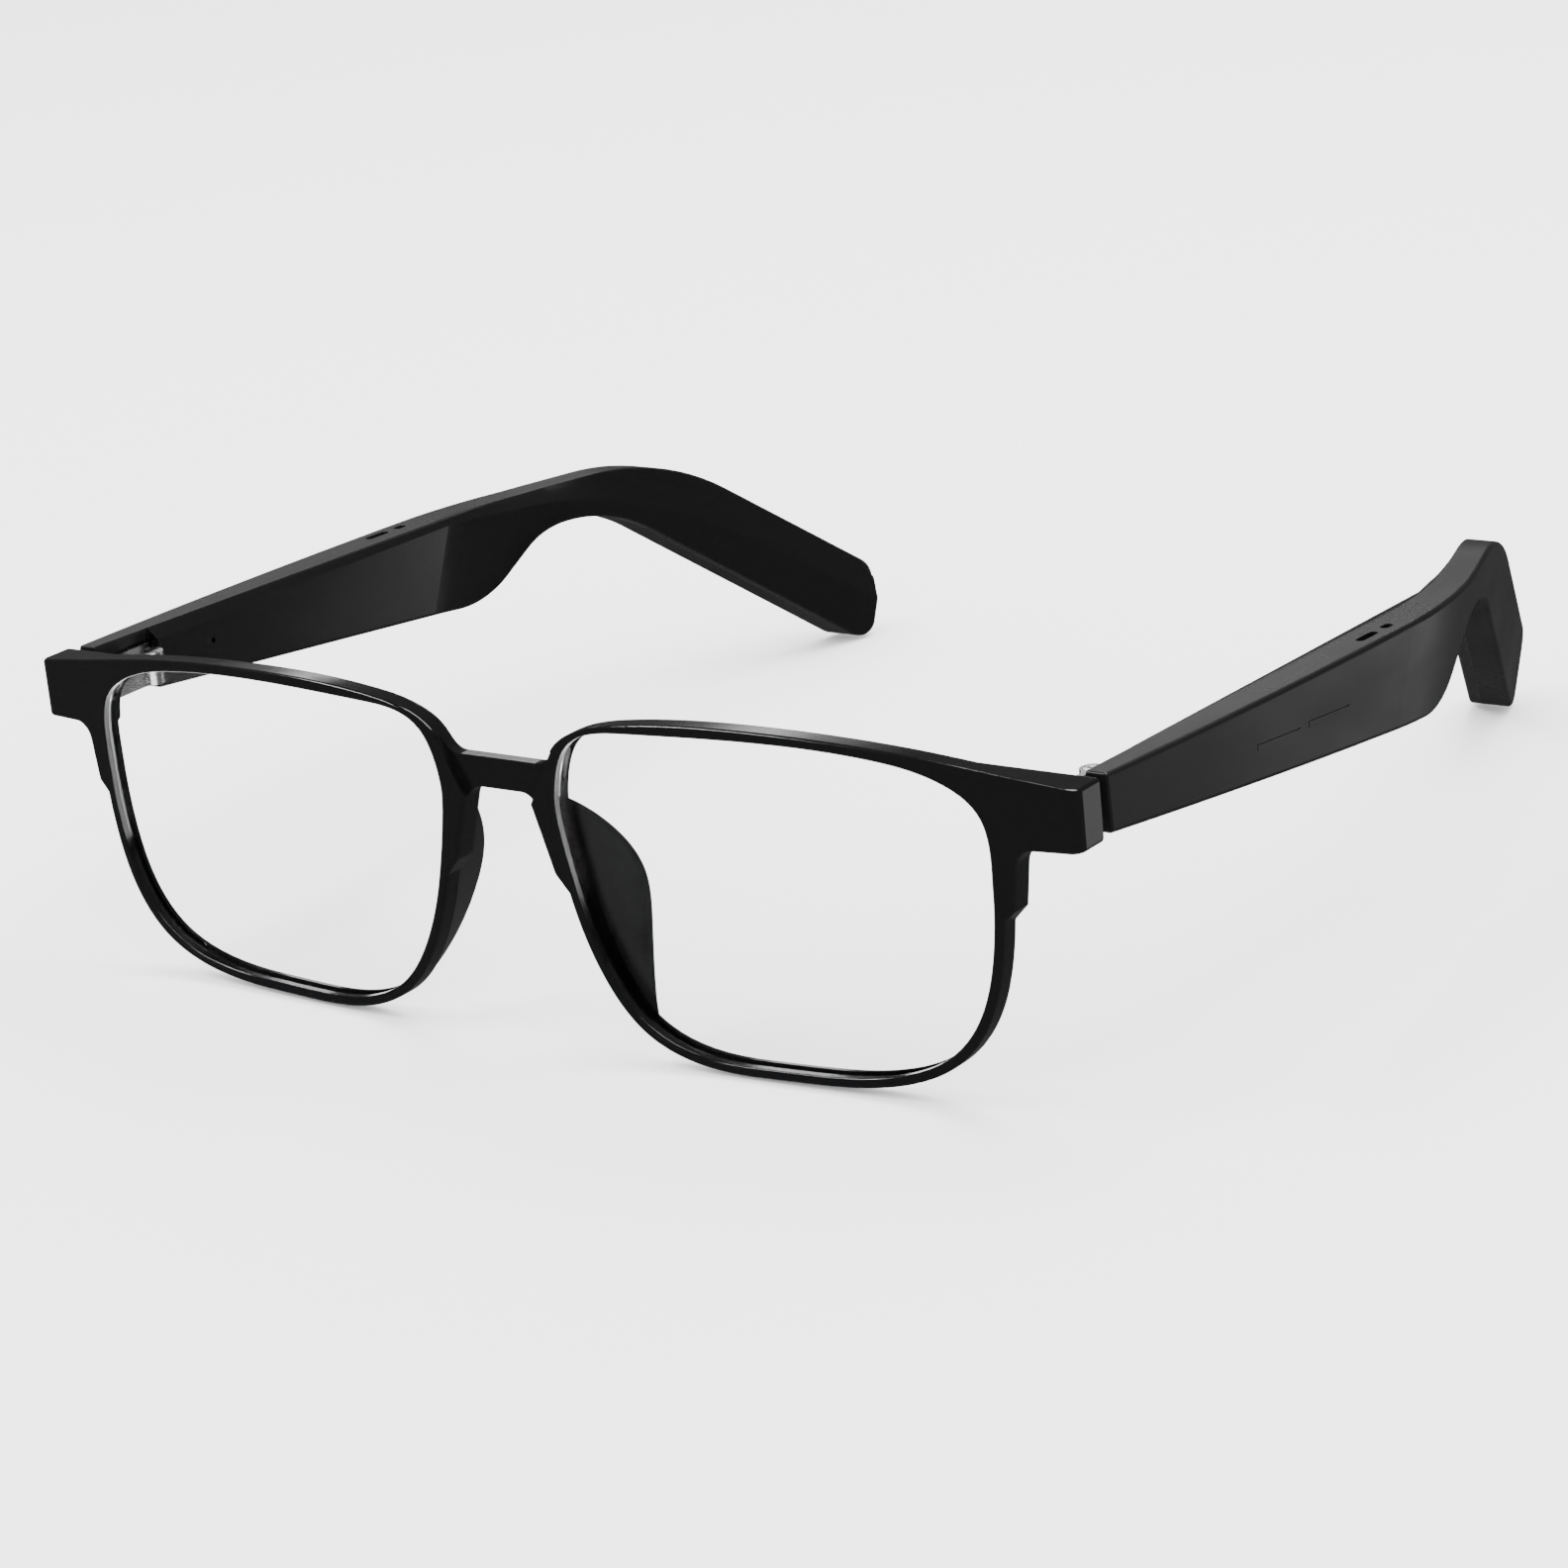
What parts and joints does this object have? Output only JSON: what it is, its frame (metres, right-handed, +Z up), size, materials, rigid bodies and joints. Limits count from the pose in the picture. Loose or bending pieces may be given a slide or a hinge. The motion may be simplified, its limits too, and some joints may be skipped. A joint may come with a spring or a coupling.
{
  "type": "smart glasses",
  "caption": "Folding smart glasses: one-piece moulded front with clear lenses, hinged hollow temples that hold electronics.",
  "frame": {"origin": "middle of the front face of the bridge", "axes": "+X towards the wearer's left, -Y forward out of the lenses, +Z up"},
  "size_m": [0.149, 0.1422, 0.0397],
  "materials": {
    "gloss_black": "polished moulding",
    "satin_black": "satin moulding",
    "clear_lens": "polished, clear",
    "hinge_metal": "satin",
    "screw_metal": "bright",
    "circuit_board": "solder mask",
    "chip_black": "moulded epoxy",
    "battery_foil": "laminated foil",
    "wire_insulation": "smooth",
    "speaker_body": "moulded",
    "metal_mesh": "woven",
    "foam": "open-cell foam",
    "flex_film": "polyimide film",
    "magnet_metal": "plated",
    "contact_gold": "plated"
  },
  "bodies": {
    "front": {"front_frame": "gloss_black", "lens_left": "clear_lens", "hinge_front_leaf_left": "hinge_metal", "hinge_front_screws_left": "screw_metal", "hinge_pin_screw_left": "screw_metal", "lens_right": "clear_lens", "hinge_front_leaf_right": "hinge_metal", "hinge_front_screws_right": "screw_metal", "hinge_pin_screw_right": "screw_metal"},
    "temple_left": {"hinge_temple_leaf_left": "hinge_metal", "hinge_temple_screws_left": "screw_metal", "temple_shell_left": "satin_black", "temple_cover_left": "gloss_black", "main_board_left": "circuit_board", "board_chips_left": "chip_black", "battery_left": "battery_foil", "battery_leads_left": "wire_insulation", "speaker_left": "speaker_body", "speaker_leads_left": "wire_insulation", "speaker_mesh_left": "metal_mesh", "speaker_gasket_left": "foam", "touch_sensor_left": "flex_film", "antenna_strip_left": "flex_film", "microphone_left": "speaker_body", "mic_mesh_left": "metal_mesh", "charge_magnet_left": "magnet_metal", "charge_contacts_left": "contact_gold"},
    "temple_right": {"hinge_temple_leaf_right": "hinge_metal", "hinge_temple_screws_right": "screw_metal", "temple_shell_right": "satin_black", "temple_cover_right": "gloss_black", "main_board_right": "circuit_board", "board_chips_right": "chip_black", "battery_right": "battery_foil", "battery_leads_right": "wire_insulation", "speaker_right": "speaker_body", "speaker_leads_right": "wire_insulation", "speaker_mesh_right": "metal_mesh", "speaker_gasket_right": "foam", "touch_sensor_right": "flex_film", "antenna_strip_right": "flex_film", "microphone_right": "speaker_body", "mic_mesh_right": "metal_mesh", "charge_magnet_right": "magnet_metal", "charge_contacts_right": "contact_gold"}
  },
  "joints": [
    {"name": "temple_left_hinge", "type": "hinge", "parent": "front", "child": "temple_left", "pos_m": [0.0665, 0.0166, 0.00085], "axis": [0, 0, 1], "range_deg": [0, 84]},
    {"name": "temple_right_hinge", "type": "hinge", "parent": "front", "child": "temple_right", "pos_m": [-0.0665, 0.0166, 0.00085], "axis": [0, 0, -1], "range_deg": [0, 75]}
  ]
}
